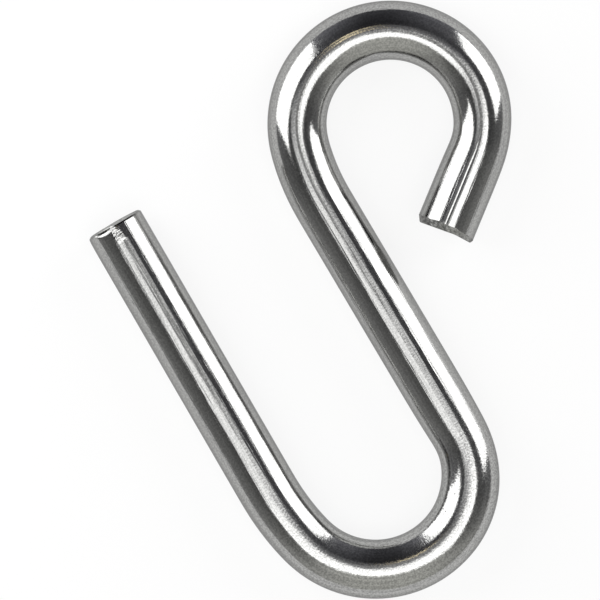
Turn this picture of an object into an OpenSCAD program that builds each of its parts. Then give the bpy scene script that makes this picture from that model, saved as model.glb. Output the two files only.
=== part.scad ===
// S hook, cold bent from one length of round bar.
// The bar's centreline runs in one level plane, so the hook lies flat. The shank runs
// along +Y, the nearly closed eye is at its +Y end and the open hook at its -Y end.
// The origin is the centre of the hook's footprint, on the surface that it lies on.

/* [Bar] */
// Diameter of the round bar
bar_d = 6; // [4:0.5:7]

/* [Shank] */
// Straight length between the hook and the eye
shank_l = 26.3; // [20:0.1:80]

/* [Hook] */
// Bend radius next to the shank, to the middle of the bar
hook_heel_r = 9.05; // [8:0.01:14]
// Turn of the bend next to the shank, in degrees
hook_heel_angle = 73.36; // [60:0.01:80]
// Bend radius round the bottom of the hook, to the middle of the bar
hook_bowl_r = 9.69; // [8:0.01:14]
// Turn of the bend round the bottom of the hook, in degrees
hook_bowl_angle = 93.21; // [80:0.01:100]
// Radius of the easy curve that leads into the arm, to the middle of the bar
hook_lead_r = 26; // [20:0.1:40]
// Turn of the easy curve that leads into the arm, in degrees
hook_lead_angle = 13.985; // [8:0.005:18]
// Straight length of the open arm, up to its cut end
arm_l = 30.8; // [10:0.1:40]

/* [Eye] */
// Radius of the easy curve that leads into the eye, to the middle of the bar
eye_lead_r = 22.6; // [18:0.1:40]
// Turn of the easy curve that leads into the eye, in degrees
eye_lead_angle = 15.435; // [8:0.005:20]
// Bend radius over the top of the eye, to the middle of the bar
eye_crown_r = 9.38; // [8:0.01:12]
// Turn of the bend over the top of the eye, in degrees
eye_crown_angle = 132.18; // [115:0.01:140]
// Bend radius where the eye closes, to the middle of the bar
eye_close_r = 9.05; // [8:0.01:12]
// Turn of the bend where the eye closes, in degrees
eye_close_angle = 85.475; // [70:0.005:92]
// Straight length of the tail, up to its cut end
tail_l = 8.2; // [4:0.1:10]

/* [Cut ends] */
// Rounding of the rim at the arm's end
arm_rim_r = 0.4; // [0.2:0.05:1]
// Rounding of the rim at the tail's end
tail_rim_r = 0.45; // [0.2:0.05:1]
// Depth of the shallow hollow that the shear left across the tail's end
tail_hollow = 0.1; // [0.05:0.01:0.3]

/* [Hidden] */
$fn = 96;

bar_r = bar_d / 2;

// How far each arc is drawn past its bend before it is cut off, in degrees
overrun = 2;

// The bends after each end of the shank, each as its radius and its turn to the right
hook_bends = [
    [hook_heel_r, hook_heel_angle],
    [hook_bowl_r, hook_bowl_angle],
    [hook_lead_r, hook_lead_angle]
];
eye_bends = [
    [eye_lead_r, eye_lead_angle],
    [eye_crown_r, eye_crown_angle],
    [eye_close_r, eye_close_angle]
];

// Headings are compass angles: 0 runs along +Y and 90 along +X
function ahead(heading) = [sin(heading), cos(heading)];
function right_of(heading) = [cos(heading), -sin(heading)];

// Where a bend has come to, from point p, after turning right from the heading
function bent(p, heading, radius, turn) =
    p + radius * (right_of(heading) - right_of(heading + turn));

// Centreline points, a degree apart, of a chain of bends and its straight end
function trace(p, heading, bends, end_l, i = 0) =
    i == len(bends)
    ? [p, p + end_l * ahead(heading)]
    : let (radius = bends[i][0], turn = bends[i][1])
      concat(
          [for (a = [0 : 1 : turn]) bent(p, heading, radius, a)],
          trace(bent(p, heading, radius, turn), heading + turn, bends, end_l, i + 1)
      );

centreline = concat(
    trace([0, 0], 180, hook_bends, arm_l),
    trace([0, shank_l], 0, eye_bends, tail_l)
);
xs = [for (p = centreline) p.x];
ys = [for (p = centreline) p.y];
middle = [(min(xs) + max(xs)) / 2, (min(ys) + max(ys)) / 2];

// Radius of the cutter whose edge dips by the hollow's depth over the bar's width
hollow_r = (bar_r * bar_r + tail_hollow * tail_hollow) / (2 * tail_hollow);

// A straight length of bar along +Y
module straight(length) {
    rotate([-90, 0, 0]) cylinder(r = bar_r, h = length);
}

// Moves to the far end of a bend to the right, where the next piece sets off along +Y
module past_bend(radius, turn) {
    translate([radius, 0, 0]) rotate([0, 0, -turn]) translate([-radius, 0, 0]) children();
}

// A bend that sets off along +Y and turns to the right, with what follows at its far end.
// Its arc is drawn a little long and cut off square where the next piece starts.
module bend(radius, turn) {
    difference() {
        translate([radius, 0, 0]) mirror([1, 0, 0])
            rotate_extrude(angle = turn + overrun) translate([radius, 0]) circle(r = bar_r);
        past_bend(radius, turn)
            translate([-bar_d, 0, -bar_d]) cube([2 * bar_d, bar_d, 2 * bar_d]);
    }
    past_bend(radius, turn) children();
}

// A chain of bends, with what follows at its far end
module bends(chain, i = 0) {
    if (i < len(chain)) {
        bend(chain[i][0], chain[i][1]) bends(chain, i + 1) children();
    } else {
        children();
    }
}

// A straight length of bar along +Y that ends in a square cut with a rounded rim
module cut_end(length, rim_r) {
    rotate([-90, 0, 0]) rotate_extrude() {
        square([bar_r, length - rim_r]);
        square([bar_r - rim_r, length]);
        translate([bar_r - rim_r, length - rim_r]) circle(r = rim_r);
    }
}

// The tail: a cut end with a shallow hollow across it
module tail() {
    difference() {
        cut_end(tail_l, tail_rim_r);
        translate([0, tail_l - tail_hollow + hollow_r, 0])
            cylinder(r = hollow_r, h = 2 * bar_d, center = true);
    }
}

module s_hook() {
    color("silver") translate([-middle.x, -middle.y, bar_r]) {
        straight(shank_l);
        rotate([0, 0, 180]) bends(hook_bends) cut_end(arm_l, arm_rim_r);
        translate([0, shank_l, 0]) bends(eye_bends) tail();
    }
}

s_hook();
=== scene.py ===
"""S hook bent from one length of round stainless bar, lying flat and seen from straight above."""
import functools
import math
from collections import namedtuple
from types import SimpleNamespace

import bpy
import numpy as np
from mathutils import Matrix, Vector


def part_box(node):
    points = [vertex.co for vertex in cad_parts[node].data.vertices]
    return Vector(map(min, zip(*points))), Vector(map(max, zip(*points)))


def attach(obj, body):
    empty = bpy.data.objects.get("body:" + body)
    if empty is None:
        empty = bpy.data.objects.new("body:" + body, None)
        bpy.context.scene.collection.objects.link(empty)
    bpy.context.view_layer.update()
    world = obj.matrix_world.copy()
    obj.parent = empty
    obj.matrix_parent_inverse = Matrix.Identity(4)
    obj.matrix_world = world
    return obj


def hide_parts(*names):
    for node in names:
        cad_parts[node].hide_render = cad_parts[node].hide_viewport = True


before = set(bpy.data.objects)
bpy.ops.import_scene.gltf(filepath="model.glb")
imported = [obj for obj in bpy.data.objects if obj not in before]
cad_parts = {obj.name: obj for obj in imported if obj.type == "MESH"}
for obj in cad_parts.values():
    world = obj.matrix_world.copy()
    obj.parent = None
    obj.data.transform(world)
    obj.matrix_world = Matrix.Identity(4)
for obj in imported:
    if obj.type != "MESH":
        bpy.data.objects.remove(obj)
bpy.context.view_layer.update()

# Sizes are in millimetres and degrees, and meshes are written in metres
MM = 0.001
MICRON = 1.0e-6

# The bar and its straight lengths
BAR_R = 3.0
ARM_L = 30.8
SHANK_L = 26.3
TAIL_L = 8.2

# The bends from the arm's end onwards, as radius to the middle of the bar and angle.
# The hook's bends turn to the left on the way from the arm to the shank, the eye's to the right.
HOOK_BENDS = [(26.0, 13.985), (9.69, 93.21), (9.05, 73.36)]
EYE_BENDS = [(22.6, 15.435), (9.38, 132.18), (9.05, 85.475)]

# How far the steel eases into and out of a bend, as the spread of a smoothing bell, and the spread of the
# wider bell by which its skin and width change
EASE = 0.6
SKIN_EASE = 3 * EASE
# The spreads that a smoothing bell reaches to each side, and the spacing of the points on the centreline
BELL_REACH = 4
LINE_STEP = 0.02
# The eased bends and their necking take this much off the hook's length, and the shank makes up for it
SHANK_EXTRA = 0.03
# How much of the bar's half width all bends take, and two pinched places as where, how much and how long
BEND_NECK = 0.035
PINCHES = [(63.0, 0.12, 2.6), (129.8, 0.08, 1.8)]

# The skin of the eye's bends, which start past this place along the bar, is roughened less than the hook's
EYE_FROM = 80.0
EYE_STRETCH = 0.35

# Angles round the bar start at the right hand side of the way from the arm to the tail, and climb over
# the top. The right hand side is the outer side of the arm and the inner side of the eye.

# The arm's end: a crease, a steep strip that leans by its tilt, and a round to the face. Strip and round
# have one width on top and another at the sides, and the face's middle stands out past its sides.
ARM_CREASE_R = 0.14
ARM_STRIP_TILT = 49.0
ARM_STRIP_W = 0.42
ARM_SIDE_STRIP_W = 0.1
ARM_ROUND_R = 0.24
ARM_SIDE_ROUND_R = 0.42
ARM_CROWN = 0.09
# The flat that the blade has pressed behind the strip: its angle round the bar, its tilt, how far back it
# reaches, and the depth of its border's painted shade. The last keeps its formula from dividing by nought.
FLAT_AT = 64.0
FLAT_TILT = 34.0
FLAT_REACH = 0.76
FLAT_BORDER = 0.02
FLAT_LEAST_COSINE = 0.1
# The crease's painted shade, a dark line: its middle and spread round the bar, and its strength before it is
# capped at one. A fainter line of painted shade goes all round at the strip's foot.
CREASE_SHADE_AT = 111.0
CREASE_SHADE_SPREAD = 17.0
CREASE_SHADE_STRENGTH = 2.2
FOOT_SHADE_STRENGTH = 0.5
# The blade has dragged the steel in a little on the arm's outer side: how much, where and how widely round
# the bar, and how far along it
ARM_DRAG = 0.1
ARM_DRAG_AT = 0.0
ARM_DRAG_SPREAD = 40.0
ARM_DRAG_REACH = 0.55
# The tilts between which the surface of the arm's end changes from drawn to cut
ARM_CUT_TILTS = (70.0, 86.0)

# The tail's torn end stands out this much past the plain tail
TAIL_EXTRA = 0.12
# The tail's end: a leaning strip that is wide on the eye's inner side and narrower on the outer side, a
# small round, and a face with a dip between the sheared part and the broken lip
TAIL_CREASE_R = 0.05
TAIL_STRIP_TILT = 27.0
TAIL_STRIP_W = 0.66
TAIL_OUTER_STRIP_W = 0.3
TAIL_NARROWING = 3
TAIL_ROUND_R = 0.17
# The strip's raggedness, as waves in a turn, height and start
TAIL_WAVES = [(5, 0.04, 1.0), (11, 0.03, 0.0), (23, 0.015, 2.0)]
# The dip's depth, its place from the middle to the right, and the share of it at the face's middle point
TAIL_DIP = 0.2
TAIL_DIP_AT = -1.1
TAIL_MIDDLE_SHARE = 0.6
# How dark the painted shade line round the face is, and the tilts between which the surface changes to torn
TAIL_SHADE_STRENGTH = 0.8
TAIL_CUT_TILTS = (4.0, 16.0)

# The mesh: spacing of the rings along the bar and of the finer ones by the arm's end, points in a ring,
# rings of an end, and how far from the ends the evenly spaced rings stay
RING_GAP = 0.2
FINE_GAP = 0.05
RING_POINTS = 96
CREASE_RINGS = 3
STRIP_RINGS = 4
ROUND_RINGS = 8
FACE_RINGS = 24
END_ROOM = 1.0

# The finish's patterns, as scale, detail and roughness of a noise. Grain, lumps, tears and crumple are
# scaled to metres, and lines and flats to millimetres along and round the bar.
GRAIN = (5200.0, 1.0, 0.6)
LUMPS = (1100.0, 2.0, 0.5)
TEARS = ((3000.0, 3000.0, 900.0), 3.0, 0.6)
CRUMPLE = (2600.0, 2.0, 0.6)
LINES = ((0.07, 2.6, 0.0), 3.0, 0.65)
FLATS = ((0.025, 0.9, 0.0), 1.0, 0.5)
# Their relief in thousandths of a millimetre, for four of them on the straights and in the tight bends
GRAIN_RELIEF = (3.0, 7.5)
LUMP_RELIEF = (2.0, 5.0)
LINE_RELIEF = (24.0, 4.0)
FLAT_RELIEF = (16.0, 6.0)
TEAR_RELIEF = 110.0
CRUMPLE_RELIEF = 60.0
# The groove that the last bend left along the tail's top: its place round the bar, width, depth in
# thousandths of a millimetre, and where along the bar it starts and how long it takes to full depth
GROOVE_AT = 4.58
GROOVE_W = 0.12
GROOVE_DEPTH = 26.0
GROOVE_FROM = 128.0
GROOVE_FADE = 6.0
# The crumpled spot by the arm's end, along and round the bar: where it sets in, is full, fades and ends
SMUDGE_ALONG = (0.45, 0.6, 1.6, 2.2)
SMUDGE_ROUND = (3.8, 4.3, 4.9, 5.4)
# The roughness of the polish at the values of a noise between which most of it lies, and how much
# stretched skin and cut surface add to it
NOISE_SPAN = (0.3, 0.7)
POLISH = (0.085, 0.115)
STRETCH_DULLS = 0.04
CUT_DULLS = 0.3
# The steel's dull and bright tones, between which grain and lines choose by their weights
WORN_BY_GRAIN = 0.7
WORN_BY_LINES = 0.5
WORN_SPAN = (0.42, 0.78)
EVEN_TONES = ((0.30, 0.30, 0.295, 1), (0.42, 0.42, 0.41, 1))
SPECKLED_TONES = ((0.27, 0.27, 0.265, 1), (0.47, 0.47, 0.46, 1))
TORN_TONES = ((0.17, 0.17, 0.165, 1), (0.42, 0.42, 0.41, 1))
# The tone of the painted shade, dark lines at the ends, and the tint of steel that is seen at a grazing angle
PAINTED_SHADE_TONE = (0.006, 0.006, 0.006, 1)
GRAZING_TONE = (0.5, 0.5, 0.5, 1)
# Small dark marks, as place along and round the bar and half length and half width, with the shares of
# their half size between which they fade, and how much they cover
MARKS = [(7.95, 2.13, 0.28, 0.05), (55.4, 6.9, 0.06, 0.16), (55.25, 6.52, 0.1, 0.08), (57.65, 6.2, 0.1, 0.08)]
MARK_FADE = (1.4, 0.5)
MARK_COVER = 0.85
MARK_TONE = (0.04, 0.04, 0.04, 1)

# The photograph's frame: its side in pixels, the size of a pixel, where its middle lies on the hook, and
# how far the hook is turned in it
IMAGE_SIDE = 600
MM_PER_PIXEL = 0.1
VIEW_CENTRE = (-6.83, 4.235)
VIEW_ROLL = 30.67
# The camera: its height, the nearest distance that it sees, and the width of its sensor
CAMERA_HEIGHT = 2000.0
CAMERA_CLIP = 10.0
SENSOR = 36.0

# The studio: azimuth of the pale wall, and brightness by (1 + cosine of the azimuth from it) / 2
WALL_AT = 276.0
WALL_TONES = [(0.0, 0.05), (0.015, 0.09), (0.05, 0.17), (0.12, 0.18), (0.3, 0.19), (0.5, 0.18), (0.62, 0.14),
              (0.70, 0.24), (0.80, 0.28), (0.90, 0.54), (0.96, 0.70), (1.0, 0.74)]
# The blue of the dark side and of the wall as a share of their tone, and where the wall's gain takes over
DARK_BLUE = 1.12
WALL_BLUE = 0.94
WALL_EDGE = (0.82, 0.92)
# Gain of the dark surroundings and of the wall, level with the floor and straight above
DARK_GAIN = (1.6, 0.4)
WALL_GAIN = (0.92, 1.12)
# The plain ceiling: the upward part of the direction at which it sets in and is full
CEILING_EDGE = (0.90, 0.99)
CEILING_TONE = (0.26, 0.26, 0.275, 1)

# The light overhead: left, right, lower and upper side as direction over height, and half its soft edge
OVERHEAD = (-0.44, 0.51, -0.50, 0.0)
OVERHEAD_EDGE = 0.05
OVERHEAD_TONE = (3.1, 3.1, 3.1, 1)
# The least height that a direction's parts are divided by
LEAST_HEIGHT = 0.05
# The upper side climbs from the middle to the right and to the left, and its right hand corner is cut off
TOP_RISE_RIGHT = 0.7
TOP_RISE_LEFT = 0.3
CORNER_SLOPE = 0.8
CORNER_EDGE = (0.40, 0.30)
# The light fades towards its upper left corner
FADE_SLOPE = -0.5
FADE_EDGE = (0.2, -0.2)
FADED_TONE = (0.7, 0.7, 0.71, 1)
# A gold glint and a small spot: the way out to them, and where each sets in, is full, fades and ends,
# first along that way and then across it
GLINT_WAY = (-0.5, 0.87)
GLINT = ((0.315, 0.335, 0.355, 0.375), (-0.10, 0.02, 0.05, 0.16))
SPOT = ((0.14, 0.17, 0.22, 0.25), (-0.01, 0.01, 0.035, 0.055))
GOLD_TONE = (3.4, 2.9, 1.9, 1)

# The softboxes in the photograph's directions: middle, height over the floor, size of the face, direction
# that it faces, its lean downwards and its roll, and the brightness of both
SOFTBOXES = {
    "right_softbox": dict(right=870, up=411, height=450, width=800, tall=890,
                          facing=229.0, lean=13.5, roll=-10.6),
    "left_softbox": dict(right=-178, up=71, height=121, width=187, tall=252,
                         facing=-36.6, lean=19.4, roll=6.6),
}
SOFTBOX_TONE = 3.2

# The lens: middle in the photograph's directions, height, radius, brightness and points round it
LENS_FOOT = (-4.5, 11.0)
LENS_HEIGHT = 220.0
LENS_R = 24.0
LENS_TONE = 0.42
LENS_POINTS = 48

# The floor: half its side, its tone, and how much of its own light is replaced by plain white where it is
# seen or reflected
FLOOR_HALF = 3000.0
FLOOR_TONE = (0.9, 0.9, 0.9, 1)
FLOOR_LIFT = 0.85


def chain():
    """The bar's lengths in order from the arm's end, each as its length and its turn per millimetre.

    A turn to the right counts as positive, in degrees. Easing sets a bend wider by the square of the
    easing over twice its radius, so that much comes off the radius.
    """
    pieces = [(ARM_L, 0.0)]
    straights = (SHANK_L + SHANK_EXTRA, TAIL_L + TAIL_EXTRA)
    for side, bends, straight in zip((-1, 1), (HOOK_BENDS, EYE_BENDS), straights):
        for radius, angle in bends:
            eased = radius - EASE ** 2 / (2 * radius)
            pieces.append((math.radians(angle) * eased, side * math.degrees(1 / eased)))
        pieces.append((straight, 0.0))
    return pieces


def smoothed(values, spread):
    """Values on the centreline's points, averaged with a bell of this spread, with the ends carried on."""
    reach = int(math.ceil(BELL_REACH * spread / LINE_STEP))
    offsets = np.arange(-reach, reach + 1) * LINE_STEP
    weights = np.exp(-0.5 * (offsets / spread) ** 2)
    padded = np.pad(values, reach, mode="edge")
    return np.convolve(padded, weights / weights.sum(), mode="valid")


class Centreline:
    """The line through the middle of the bar, worked out finely along its length.

    The turn per millimetre is constant on each piece and eased at the joints. The heading is its
    running sum, and the place is the running sum of the heading's direction. The line is then
    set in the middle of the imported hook's footprint.
    """

    def __init__(self):
        pieces = chain()
        ends = np.cumsum([length for length, _ in pieces])
        self.length = float(ends[-1])
        self.along = np.arange(0.0, self.length + LINE_STEP, LINE_STEP)
        which = np.minimum(np.searchsorted(ends, self.along), len(pieces) - 1)
        self.turn = smoothed(np.array([rate for _, rate in pieces])[which], EASE)
        total = np.concatenate([[0.0], np.cumsum((self.turn[1:] + self.turn[:-1]) / 2 * LINE_STEP)])
        shank = np.interp(ends[len(HOOK_BENDS)] + SHANK_L / 2, self.along, total)
        self.heading = np.radians(total - shank)
        way = np.stack([np.sin(self.heading), np.cos(self.heading)], axis=1)
        self.place = np.concatenate([[[0.0, 0.0]], np.cumsum((way[1:] + way[:-1]) / 2 * LINE_STEP, axis=0)])
        self.place -= (self.place.min(axis=0) + self.place.max(axis=0)) / 2
        low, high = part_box("s_hook")
        self.place += np.array([low.x + high.x, low.y + high.y]) / 2 / MM
        self.base = low.z / MM

    def at(self, along):
        """The places on the line, carried straight on past its ends, and the right hand side there."""
        inside = np.clip(along, 0.0, self.length)
        x = np.interp(inside, self.along, self.place[:, 0])
        y = np.interp(inside, self.along, self.place[:, 1])
        heading = np.interp(inside, self.along, self.heading)
        past = along - inside
        right = np.stack([np.cos(heading), -np.sin(heading)], axis=-1)
        return np.stack([x + past * np.sin(heading), y + past * np.cos(heading)], axis=-1), right

    def tightness(self, along):
        """The turn as a share of that of the tight bends, evened out."""
        tight = math.degrees(1 / HOOK_BENDS[1][0])
        return np.clip(np.abs(np.interp(along, self.along, smoothed(self.turn, SKIN_EASE))) / tight, 0, 1)

    def half_width(self, along):
        """Half the bar's width in the plane of the bends: the bar's radius less its necking.

        The necking grows by the square of the tightness, and a bell adds each pinched place.
        """
        width = BAR_R - BEND_NECK * self.tightness(along) ** 2
        for at, depth, spread in PINCHES:
            width = width - depth * np.exp(-0.5 * ((along - at) / spread) ** 2)
        return width


# An end's rings, from the bar's side to the middle of the cut face: inset from the bar's side, way back
# from the face, share of the cut face's size, all by ring and point, and the surface's tilt by ring
EndRings = namedtuple("EndRings", "inset back share tilt")


def end_rings(crease_r, strip_tilt, strip_w, round_r):
    """The way from the bar's side over the rim to the middle of the cut face, as an end's rings.

    The tilt of the surface climbs from 0 to the strip's tilt round the crease, holds across the strip and
    climbs to 90 degrees round the rim. The inset is the running sum of its sine, and the way back that of
    its cosine, taken from the far end. On the face both stay, and the share shrinks evenly to the middle.
    The strip's width and the rim's radius are given for each point.
    """
    lean = math.radians(strip_tilt)
    square = math.pi / 2
    stages = [
        (np.linspace(0, lean, CREASE_RINGS + 1), crease_r * lean + 0 * strip_w),
        (np.full(STRIP_RINGS + 1, lean), strip_w),
        (np.linspace(lean, square, ROUND_RINGS + 1), round_r * (square - lean)),
    ]
    middle = np.concatenate([(tilts[1:] + tilts[:-1]) / 2 for tilts, _ in stages])
    steps = np.concatenate([np.tile(way / (len(tilts) - 1), (len(tilts) - 1, 1)) for tilts, way in stages])
    start = np.zeros((1, RING_POINTS))
    inset = np.concatenate([start, np.cumsum(np.sin(middle)[:, None] * steps, axis=0)])
    ahead = np.concatenate([start, np.cumsum(np.cos(middle)[:, None] * steps, axis=0)])
    rim_tilt = np.concatenate([[0.0]] + [tilts[1:] for tilts, _ in stages])

    face = np.linspace(1, 0, FACE_RINGS + 1)[1:-1, None] * np.ones(RING_POINTS)
    return EndRings(
        inset=np.concatenate([inset, inset[-1] + 0 * face]),
        back=np.concatenate([ahead[-1] - ahead, 0 * face]),
        share=np.concatenate([np.ones_like(inset), face]),
        tilt=np.concatenate([rim_tilt, np.full(len(face), square)]))


def bell(angle, at, spread):
    """A bell over the angle round the bar, with its middle and spread in degrees."""
    away = (np.degrees(angle) - at + 180) % 360 - 180
    return np.exp(-0.5 * (away / spread) ** 2)


def flat_depth(angle, back):
    """How far the pressed flat lies under the round bar, by angle round it and distance back from the face.

    The flat is a plane, and along it the distance from the bar's axis is that of its middle line, which
    grows by the tangent of its tilt with the distance back, over the cosine of the angle from its middle.
    """
    middle = BAR_R - (FLAT_REACH - back) * math.tan(math.radians(FLAT_TILT))
    away = np.cos(angle - math.radians(FLAT_AT))
    return BAR_R - middle / np.maximum(away, FLAT_LEAST_COSINE)


def arm_end(angle):
    """The rings of the arm's end, with the flat pressed into its crease.

    Strip and round go from their widths on top to those at the sides by the square of the cosine of the
    angle. The flat takes the crease where it lies deeper, and ends in a small step under the strip.
    """
    aside = np.cos(angle) ** 2
    strip = ARM_STRIP_W + (ARM_SIDE_STRIP_W - ARM_STRIP_W) * aside
    rounding = ARM_ROUND_R + (ARM_SIDE_ROUND_R - ARM_ROUND_R) * aside
    end = end_rings(ARM_CREASE_R, ARM_STRIP_TILT, strip, rounding)
    crease = slice(0, CREASE_RINGS + 1)
    end.inset[crease] = np.maximum(end.inset[crease], flat_depth(angle, end.back[crease]))
    return end


def tail_end(angle):
    """The rings of the tail's end.

    Its strip narrows to the outer side by a power of (1 - cosine of the angle) / 2, and has waves on it.
    """
    outer = (1 - np.cos(angle)) / 2
    ragged = sum(height * np.sin(waves * angle + start) for waves, height, start in TAIL_WAVES)
    strip = TAIL_STRIP_W + (TAIL_OUTER_STRIP_W - TAIL_STRIP_W) * outer ** TAIL_NARROWING + ragged
    return end_rings(TAIL_CREASE_R, TAIL_STRIP_TILT, strip, TAIL_ROUND_R + 0 * angle)


def to_right(end, angle):
    """How far each point of an end lies to the right of the bar's middle."""
    return (BAR_R - end.inset) * end.share * np.cos(angle)


def cut_share(end, tilts):
    """How much of each point of an end is cut surface: it climbs evenly between the two tilts."""
    start, full = tilts
    return np.clip((np.degrees(end.tilt) - start) / (full - start), 0, 1)[:, None] + np.zeros(RING_POINTS)


def hook_grid(line):
    """The rings of the whole bar, from the middle of the arm's face to the middle of the tail's.

    It gives the points' angles round the bar, and by ring and point their distance along it, inset, share
    of the end face, share of cut surface and painted shade of the dark lines at the ends. The arm's face is
    crowned by the square of the distance to the side, and the tail's dips in a straight line from both sides.
    The drag on the arm's side is a bell round the bar and fades along it by the exponential of the distance.
    """
    angle = np.arange(RING_POINTS) * 2 * math.pi / RING_POINTS
    arm = arm_end(angle)
    arm_along = arm.back + ARM_CROWN * (to_right(arm, angle) / BAR_R) ** 2
    tail = tail_end(angle)
    lateral = to_right(tail, angle)
    reach = np.where(lateral > TAIL_DIP_AT, BAR_R - TAIL_DIP_AT, BAR_R + TAIL_DIP_AT)
    dip = TAIL_DIP * (1 - np.clip(np.abs(lateral - TAIL_DIP_AT) / reach, 0, 1))
    tail_along = line.length - tail.back - dip

    near_arm = np.arange(arm.back[0].max() + FINE_GAP, END_ROOM, FINE_GAP)
    body = np.arange(END_ROOM, line.length - END_ROOM + RING_GAP / 2, RING_GAP)
    body = np.concatenate([near_arm, body])[:, None] + 0 * angle
    depth = flat_depth(angle, body)

    along = np.concatenate([arm_along[::-1], body, tail_along])
    inset = np.concatenate([arm.inset[::-1], np.maximum(depth, 0), tail.inset])
    inset = inset + ARM_DRAG * bell(angle, ARM_DRAG_AT, ARM_DRAG_SPREAD) * np.exp(-along / ARM_DRAG_REACH)
    share = np.concatenate([arm.share[::-1], 0 * body + 1, tail.share])
    arm_cut = cut_share(arm, ARM_CUT_TILTS)
    cut = np.concatenate([arm_cut[::-1], 0 * body, cut_share(tail, TAIL_CUT_TILTS)])

    # Painted shade: near-black lines along the arm's crease and all round at the strip's foot
    arm_painted_shade = np.zeros_like(arm.inset)
    crease_shade = np.clip(CREASE_SHADE_STRENGTH * bell(angle, CREASE_SHADE_AT, CREASE_SHADE_SPREAD), 0, 1)
    arm_painted_shade[:CREASE_RINGS] = crease_shade
    arm_painted_shade[CREASE_RINGS] = np.maximum(crease_shade, FOOT_SHADE_STRENGTH)
    # Painted shade: a dark line along the border of the pressed flat
    flat_border_shade = np.exp(-(depth / FLAT_BORDER) ** 2) * (body < FLAT_REACH)
    tail_painted_shade = np.zeros_like(tail.inset)
    # Painted shade: a dark line round the tail's face
    tail_painted_shade[-FACE_RINGS] = TAIL_SHADE_STRENGTH
    seam = np.concatenate([arm_painted_shade[::-1], flat_border_shade, tail_painted_shade])
    return angle, along, inset, share, cut, seam


def hook_mesh():
    """The bar's surface: an oval ring at each station, square to the centreline, and a point at each end.

    A ring's point at angle a lies at (half width less inset) * cos(a) to the right and
    (bar radius less inset) * sin(a) up, both times the ring's share of the end face.
    """
    line = Centreline()
    angle, along, inset, share, cut, seam = hook_grid(line)
    rings = len(along)
    place, right = line.at(along)
    across = (line.half_width(along) - inset) * share * np.cos(angle)
    up = (BAR_R - inset) * share * np.sin(angle)
    verts = np.concatenate([place + across[..., None] * right, (line.base + BAR_R + up)[..., None]], axis=-1)
    pole_along = np.array([0.0, line.length - TAIL_DIP * TAIL_MIDDLE_SHARE])
    poles = np.column_stack([line.at(pole_along)[0], np.full(2, line.base + BAR_R)])
    verts = np.concatenate([verts.reshape(-1, 3), poles])

    # Each quad goes to the next ring and to the point beside it, and a fan closes each end on its pole
    ring = np.arange(rings - 1)[:, None] * RING_POINTS
    ahead = ring + RING_POINTS
    here = np.arange(RING_POINTS)
    beside = np.roll(here, -1)
    quads = np.stack([ring + here, ahead + here, ahead + beside, ring + beside], axis=-1).reshape(-1, 4)
    last = (rings - 1) * RING_POINTS
    start_fan = np.stack([np.full_like(here, len(verts) - 2), here, beside], axis=-1)
    end_fan = np.stack([np.full_like(here, len(verts) - 1), last + beside, last + here], axis=-1)
    faces = quads.tolist() + start_fan.tolist() + end_fan.tolist()

    mesh = bpy.data.meshes.new("polished_bar")
    mesh.from_pydata((verts * MM).tolist(), [], faces)
    mesh.polygons.foreach_set("use_smooth", np.ones(len(faces), bool))

    # The map runs along and round the bar in millimetres. The last two corners of a quad that closes a ring
    # lie at a whole turn and not at nought.
    corner = np.empty(len(mesh.loops), np.int64)
    mesh.loops.foreach_get("vertex_index", corner)
    u = np.concatenate([along.ravel(), pole_along])[corner]
    v = np.concatenate([np.tile(angle, rings), [0.0, 0.0]])[corner]
    order = np.arange(len(corner))
    closes = (order < quads.size) & (corner % RING_POINTS == 0) & (order % 4 >= 2)
    v = np.where(closes, 2 * math.pi, v)
    layer = mesh.uv_layers.new(name="along_bar")
    layer.data.foreach_set("uv", np.stack([u, v * BAR_R], axis=1).ravel())

    # What the finish reads at each point, with the value at both poles
    bend = line.tightness(along)
    stretch = bend * np.where(along < EYE_FROM, 1.0, EYE_STRETCH)
    # One of these holds painted shade: the dark lines in the arm's crease and round the ends
    for name, values, pole in (("cut", cut, 1.0), ("seam", seam, 0.0),
                               ("bend", bend, 0.0), ("stretch", stretch, 0.0)):
        attribute = mesh.attributes.new(name, "FLOAT", "POINT")
        attribute.data.foreach_set("value", np.concatenate([values.ravel(), [pole, pole]]))
    mesh.update()
    return mesh


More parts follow.
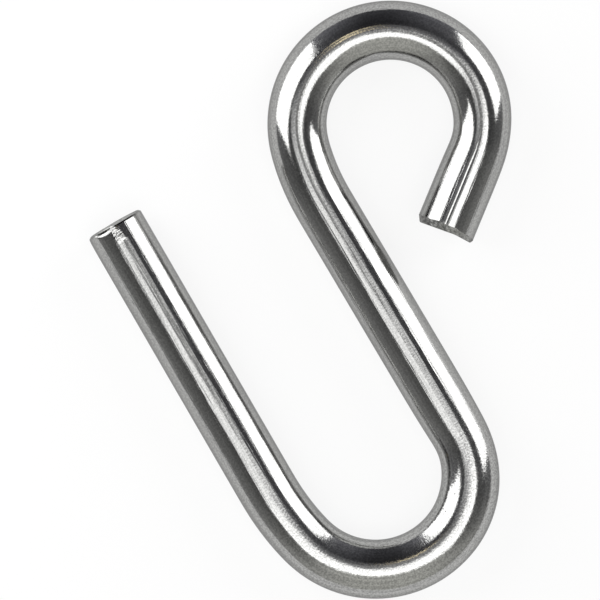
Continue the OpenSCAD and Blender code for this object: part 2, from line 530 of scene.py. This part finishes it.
class Nodes:
    """Short ways to add nodes to a tree and wire them, where a value is a socket, a number or a colour."""

    def __init__(self, tree):
        self.tree = tree

    def add(self, kind, **settings):
        """A new node of this kind, with its settings."""
        node = self.tree.nodes.new(kind)
        for name, value in settings.items():
            setattr(node, name, value)
        return node

    def wire(self, value, socket):
        """Links a socket's value to an input, or sets the input to a plain value."""
        if isinstance(value, bpy.types.NodeSocket):
            self.tree.links.new(value, socket)
        else:
            socket.default_value = value

    def math(self, operation, *values):
        """The outcome of an operation on numbers."""
        node = self.add("ShaderNodeMath", operation=operation)
        for value, socket in zip(values, node.inputs):
            self.wire(value, socket)
        return node.outputs[0]

    def vector(self, operation, *values, out=0):
        """The outcome of an operation on vectors, which has its number in output 1."""
        node = self.add("ShaderNodeVectorMath", operation=operation)
        for value, socket in zip(values, node.inputs):
            self.wire(value, socket)
        return node.outputs[out]

    def product(self, *values):
        """The product of all values."""
        return functools.reduce(functools.partial(self.math, "MULTIPLY"), values)

    def total(self, *values):
        """The sum of all values."""
        return functools.reduce(functools.partial(self.math, "ADD"), values)

    def between(self, share, low, high):
        """A number that goes evenly from low, where share is 0, to high, where it is 1."""
        return self.math("MULTIPLY_ADD", share, high - low, low)

    def step(self, value, low, high, to_low=0.0, to_high=1.0):
        """A smooth step from to_low at low to to_high at high."""
        node = self.add("ShaderNodeMapRange", interpolation_type="SMOOTHSTEP")
        for name, part in (("Value", value), ("From Min", low), ("From Max", high),
                           ("To Min", to_low), ("To Max", to_high)):
            self.wire(part, node.inputs[name])
        return node.outputs["Result"]

    def window(self, value, start, full, fade, end):
        """A smooth window: 0 up to start, 1 from full to fade, and 0 again from end on."""
        return self.product(self.step(value, start, full), self.step(value, end, fade))

    def noise(self, vector, scale, detail, roughness):
        """A noise of this scale, which is one number or one for each direction."""
        if isinstance(scale, tuple):
            vector = self.vector("MULTIPLY", vector, scale)
            scale = 1.0
        node = self.add("ShaderNodeTexNoise")
        for name, part in (("Vector", vector), ("Scale", scale),
                           ("Detail", detail), ("Roughness", roughness)):
            self.wire(part, node.inputs[name])
        return node.outputs["Fac"]

    def attribute(self, name):
        """A value that the mesh holds at its points."""
        return self.add("ShaderNodeAttribute", attribute_name=name).outputs["Fac"]

    def parts(self, vector):
        """The three numbers of a vector."""
        node = self.add("ShaderNodeSeparateXYZ")
        self.wire(vector, node.inputs[0])
        return node.outputs

    def mix(self, factor, a, b):
        """The colour a, with b over it by the factor."""
        node = self.add("ShaderNodeMix", data_type="RGBA")
        self.wire(factor, node.inputs["Factor"])
        self.wire(a, node.inputs[6])
        self.wire(b, node.inputs[7])
        return node.outputs[2]

    def glow(self, strength):
        """A plain white glow."""
        node = self.add("ShaderNodeEmission")
        node.inputs["Color"].default_value = (1, 1, 1, 1)
        node.inputs["Strength"].default_value = strength
        return node.outputs[0]


def new_material(name):
    """A new material and its nodes."""
    material = bpy.data.materials.new(name)
    material.use_nodes = True
    return material, Nodes(material.node_tree)


def put(name, data):
    """A new object in the scene."""
    item = bpy.data.objects.new(name, data)
    bpy.context.scene.collection.objects.link(item)
    return item


def steel_skin(n):
    """The places, shares and patterns that the steel's relief, roughness and colour are made from."""
    place = n.add("ShaderNodeTexCoord").outputs["Object"]
    along_bar = n.add("ShaderNodeUVMap", uv_map="along_bar").outputs["UV"]
    along, around = n.parts(along_bar)[:2]
    # The dark lines at the ends, read from the mesh, are painted shade
    return SimpleNamespace(
        along_bar=along_bar, along=along, around=around,
        cut=n.attribute("cut"), seam=n.attribute("seam"),
        bend=n.attribute("bend"), stretch=n.attribute("stretch"),
        grain=n.noise(place, *GRAIN), lumps=n.noise(place, *LUMPS),
        tears=n.noise(place, *TEARS), crumple=n.noise(place, *CRUMPLE),
        lines=n.noise(along_bar, *LINES), flats=n.noise(along_bar, *FLATS))


def steel_relief(n, skin):
    """The height of the skin in thousandths of a millimetre, as the sum of its patterns.

    Grain and lumps grow with the stretch, and draw lines and flats fade in the bends. The groove is a bell
    across its width, and the crumple fills a window by the arm's end.
    """
    across = n.math("DIVIDE", n.math("SUBTRACT", skin.around, GROOVE_AT), GROOVE_W)
    groove = n.math("EXPONENT", n.product(across, across, -1.0))
    groove = n.product(groove, n.step(skin.along, GROOVE_FROM, GROOVE_FROM + GROOVE_FADE))
    smudge = n.product(n.window(skin.along, *SMUDGE_ALONG), n.window(skin.around, *SMUDGE_ROUND))
    return n.total(
        n.product(skin.grain, n.between(skin.stretch, *GRAIN_RELIEF)),
        n.product(skin.lumps, n.between(skin.stretch, *LUMP_RELIEF)),
        n.product(skin.lines, n.between(skin.bend, *LINE_RELIEF)),
        n.product(skin.flats, n.between(skin.bend, *FLAT_RELIEF)),
        n.product(skin.tears, skin.cut, TEAR_RELIEF),
        n.product(groove, -GROOVE_DEPTH),
        n.product(skin.crumple, smudge, CRUMPLE_RELIEF))


def steel_roughness(n, skin):
    """The polish, which the lumps change a little and stretch and cuts make duller."""
    polish = n.math("MULTIPLY_ADD", skin.stretch, STRETCH_DULLS, n.step(skin.lumps, *NOISE_SPAN, *POLISH))
    return n.math("MULTIPLY_ADD", skin.cut, CUT_DULLS, polish)


def steel_colour(n, skin):
    """The steel's tone, speckled where it is stretched and torn at the cuts, with painted shade lines and
    marks.
    """
    worn = n.total(n.product(skin.grain, WORN_BY_GRAIN), n.product(skin.lines, WORN_BY_LINES))
    worn = n.step(worn, *WORN_SPAN)
    drawn = n.mix(skin.stretch, n.mix(worn, *EVEN_TONES), n.mix(worn, *SPECKLED_TONES))
    torn = n.mix(n.step(skin.tears, *NOISE_SPAN), *TORN_TONES)
    # Painted shade: near-black lines in the arm's crease, round its pressed flat and round the tail's face
    colour = n.mix(skin.seam, n.mix(skin.cut, drawn, torn), PAINTED_SHADE_TONE)
    for mark_along, mark_around, half_l, half_w in MARKS:
        away = n.vector("SUBTRACT", skin.along_bar, (mark_along, mark_around, 0))
        away = n.vector("MULTIPLY", away, (1 / half_l, 1 / half_w, 0))
        cover = n.step(n.vector("LENGTH", away, out=1), *MARK_FADE, 0.0, MARK_COVER)
        colour = n.mix(cover, colour, MARK_TONE)
    return colour


def steel_material():
    """Polished stainless steel: fine grain, draw lines along the bar and rough sheared ends."""
    material, n = new_material("polished_steel")
    shader = material.node_tree.nodes["Principled BSDF"]
    skin = steel_skin(n)
    bump = n.add("ShaderNodeBump")
    bump.inputs["Strength"].default_value = 1.0
    bump.inputs["Distance"].default_value = MICRON
    n.wire(steel_relief(n, skin), bump.inputs["Height"])
    n.wire(bump.outputs["Normal"], shader.inputs["Normal"])
    n.wire(steel_roughness(n, skin), shader.inputs["Roughness"])
    n.wire(steel_colour(n, skin), shader.inputs["Base Color"])
    shader.inputs["Metallic"].default_value = 1.0
    shader.inputs["Specular Tint"].default_value = GRAZING_TONE
    return material


def to_hook(right, up):
    """A place in the photograph's directions, in millimetres from its middle, in the hook's frame."""
    roll = math.radians(VIEW_ROLL)
    x = VIEW_CENTRE[0] + right * math.cos(roll) + up * math.sin(roll)
    y = VIEW_CENTRE[1] - right * math.sin(roll) + up * math.cos(roll)
    return x, y


def add_camera():
    """A camera straight above, turned so that the hook lies as in the photograph.

    Its focal length is such that the frame spans the photograph's width at the height of the bar's middle.
    """
    data = bpy.data.cameras.new("camera")
    data.sensor_width = SENSOR
    data.lens = SENSOR * (CAMERA_HEIGHT - BAR_R) / (IMAGE_SIDE * MM_PER_PIXEL)
    data.clip_start = CAMERA_CLIP * MM
    camera = put("camera", data)
    camera.location = (VIEW_CENTRE[0] * MM, VIEW_CENTRE[1] * MM, CAMERA_HEIGHT * MM)
    camera.rotation_euler = (0, 0, -math.radians(VIEW_ROLL))
    bpy.context.scene.camera = camera


def add_softbox(name, right, up, height, width, tall, facing, lean, roll):
    """A rectangular lamp at (right, up, height), as the photograph's directions go.

    It faces the direction at facing degrees from the photograph's right hand side and leans down by
    lean degrees, and its sides are turned by roll degrees about that direction. Its power is its
    brightness times pi times its area.
    """
    data = bpy.data.lights.new(name, "AREA")
    data.shape = "RECTANGLE"
    data.size = width * MM
    data.size_y = tall * MM
    data.energy = SOFTBOX_TONE * math.pi * (width * MM) * (tall * MM)
    lamp = put(name, data)
    yaw = math.radians(facing - VIEW_ROLL)
    pitch = math.radians(lean)
    turn = math.radians(roll)
    face = Vector((math.cos(yaw) * math.cos(pitch), math.sin(yaw) * math.cos(pitch), -math.sin(pitch)))
    level = Vector((-math.sin(yaw), math.cos(yaw), 0.0))
    side = level * math.cos(turn) + face.cross(level) * math.sin(turn)
    axes = Matrix((-side, face.cross(side), -face)).transposed().to_4x4()
    x, y = to_hook(right, up)
    lamp.matrix_world = Matrix.Translation(Vector((x, y, height)) * MM) @ axes
    lamp.visible_camera = False


def room_light(n, ray, upward):
    """The light from the pale wall and the dark room, by (1 + cosine of the azimuth from the wall) / 2.

    Dark surroundings brighten towards the floor, and the pale wall hardly changes.
    """
    level = n.vector("NORMALIZE", n.vector("MULTIPLY", ray, (1, 1, 0)))
    wall = math.radians(WALL_AT)
    toward = n.vector("DOT_PRODUCT", level, (math.cos(wall), math.sin(wall), 0), out=1)
    near_wall = n.math("MULTIPLY_ADD", toward, 0.5, 0.5)

    ramp = n.add("ShaderNodeValToRGB")
    n.wire(near_wall, ramp.inputs[0])
    ramp.color_ramp.interpolation = "B_SPLINE"
    stops = ramp.color_ramp.elements
    for at, _ in WALL_TONES[1:-1]:
        stops.new(at)
    for stop, (at, tone) in zip(stops, WALL_TONES):
        stop.color = (tone, tone, tone * (DARK_BLUE + (WALL_BLUE - DARK_BLUE) * at), 1)

    dark_gain = n.between(upward, *DARK_GAIN)
    wall_gain = n.between(upward, *WALL_GAIN)
    pale = n.step(near_wall, *WALL_EDGE)
    gain = n.math("MULTIPLY_ADD", pale, n.math("SUBTRACT", wall_gain, dark_gain), dark_gain)
    return n.vector("MULTIPLY", ramp.outputs[0], gain)


def gold_share(n, gx, gy):
    """How much of the direction is in the gold glint or the small spot, as windows along and across a way."""
    way_x, way_y = GLINT_WAY
    out = n.math("MULTIPLY_ADD", gx, way_x, n.math("MULTIPLY", gy, way_y))
    aside = n.math("MULTIPLY_ADD", gx, way_y, n.math("MULTIPLY", gy, -way_x))
    shares = [n.product(n.window(out, *outward), n.window(aside, *sideways))
              for outward, sideways in (GLINT, SPOT)]
    return n.math("MAXIMUM", *shares)


def overhead_share(n, gx, gy):
    """How much of the direction is in the light overhead.

    It is a rectangle, but its top climbs by a slope on each side of the middle, and a corner is cut off.
    """
    left, right, low, top = OVERHEAD
    soft = OVERHEAD_EDGE
    slant = n.math("MULTIPLY_ADD", n.math("MAXIMUM", gx, 0.0), -TOP_RISE_RIGHT, gy)
    slant = n.math("MULTIPLY_ADD", n.math("MINIMUM", gx, 0.0), TOP_RISE_LEFT, slant)
    corner = n.math("MULTIPLY_ADD", gx, CORNER_SLOPE, gy)
    return n.product(n.window(gx, left - soft, left + soft, right - soft, right + soft),
                     n.step(gy, low - soft, low + soft), n.step(slant, top + soft, top - soft),
                     n.step(corner, *CORNER_EDGE))


def add_world():
    """The studio round the hook: a pale wall below the photograph, a dark room, and a light overhead.

    The direction is turned into the photograph's frame, and gx and gy are its parts to the right and up
    the photograph over its height. The ceiling, the gold glint and the light are laid over the room in turn.
    """
    world = bpy.data.worlds.new("studio")
    bpy.context.scene.world = world
    world.use_nodes = True
    n = Nodes(world.node_tree)
    turn = n.add("ShaderNodeVectorRotate", rotation_type="Z_AXIS")
    n.wire(n.add("ShaderNodeTexCoord").outputs["Generated"], turn.inputs["Vector"])
    turn.inputs["Angle"].default_value = math.radians(VIEW_ROLL)
    ray = turn.outputs[0]
    x, y, upward = n.parts(ray)
    height = n.math("MAXIMUM", upward, LEAST_HEIGHT)
    gx = n.math("DIVIDE", x, height)
    gy = n.math("DIVIDE", y, height)

    shade = n.mix(n.step(upward, *CEILING_EDGE), room_light(n, ray, upward), CEILING_TONE)
    shade = n.mix(gold_share(n, gx, gy), shade, GOLD_TONE)
    bright = n.step(n.math("MULTIPLY_ADD", gx, FADE_SLOPE, gy), *FADE_EDGE)
    light = n.mix(bright, FADED_TONE, OVERHEAD_TONE)
    background = world.node_tree.nodes["Background"]
    n.wire(n.mix(overhead_share(n, gx, gy), shade, light), background.inputs["Color"])
    background.inputs["Strength"].default_value = 1.0


def add_lens():
    """The photographer's lens over the eye's side, a grey disc that only the polished steel shows."""
    turns = np.arange(LENS_POINTS) * 2 * math.pi / LENS_POINTS
    verts = LENS_R * MM * np.column_stack([np.cos(turns), np.sin(turns), 0 * turns])
    mesh = bpy.data.meshes.new("lens")
    mesh.from_pydata(verts.tolist(), [], [list(range(LENS_POINTS))])
    lens = put("lens", mesh)
    x, y = to_hook(*LENS_FOOT)
    lens.location = (x * MM, y * MM, LENS_HEIGHT * MM)
    material, n = new_material("lens")
    n.wire(n.glow(LENS_TONE), material.node_tree.nodes["Material Output"].inputs["Surface"])
    mesh.materials.append(material)
    lens.visible_camera = False
    lens.visible_shadow = False
    lens.visible_diffuse = False


def add_floor():
    """A plain pale floor under the hook, lifted towards white where it is seen or reflected."""
    mesh = bpy.data.meshes.new("floor")
    corners = FLOOR_HALF * MM * np.array([(-1, -1, 0), (1, -1, 0), (1, 1, 0), (-1, 1, 0)])
    mesh.from_pydata(corners.tolist(), [], [(0, 1, 2, 3)])
    material, n = new_material("pale_floor")
    shader = material.node_tree.nodes["Principled BSDF"]
    shader.inputs["Base Color"].default_value = FLOOR_TONE
    shader.inputs["Roughness"].default_value = 1.0
    shader.inputs["Specular IOR Level"].default_value = 0.0
    ray = n.add("ShaderNodeLightPath").outputs
    seen = n.math("MAXIMUM", ray["Is Camera Ray"], ray["Is Glossy Ray"])
    seen = n.math("MAXIMUM", seen, ray["Is Transmission Ray"])
    lifted = n.add("ShaderNodeMixShader")
    n.wire(n.math("MULTIPLY", seen, FLOOR_LIFT), lifted.inputs[0])
    n.wire(shader.outputs[0], lifted.inputs[1])
    n.wire(n.glow(1.0), lifted.inputs[2])
    n.wire(lifted.outputs[0], material.node_tree.nodes["Material Output"].inputs["Surface"])
    mesh.materials.append(material)
    put("floor", mesh)


bpy.context.scene.view_settings.view_transform = "Standard"
add_camera()
add_world()
add_floor()
add_lens()
for softbox, setting in SOFTBOXES.items():
    add_softbox(softbox, **setting)

bar = put("bent_bar", hook_mesh())
bar.data.materials.append(steel_material())
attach(bar, "root")
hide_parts("s_hook")
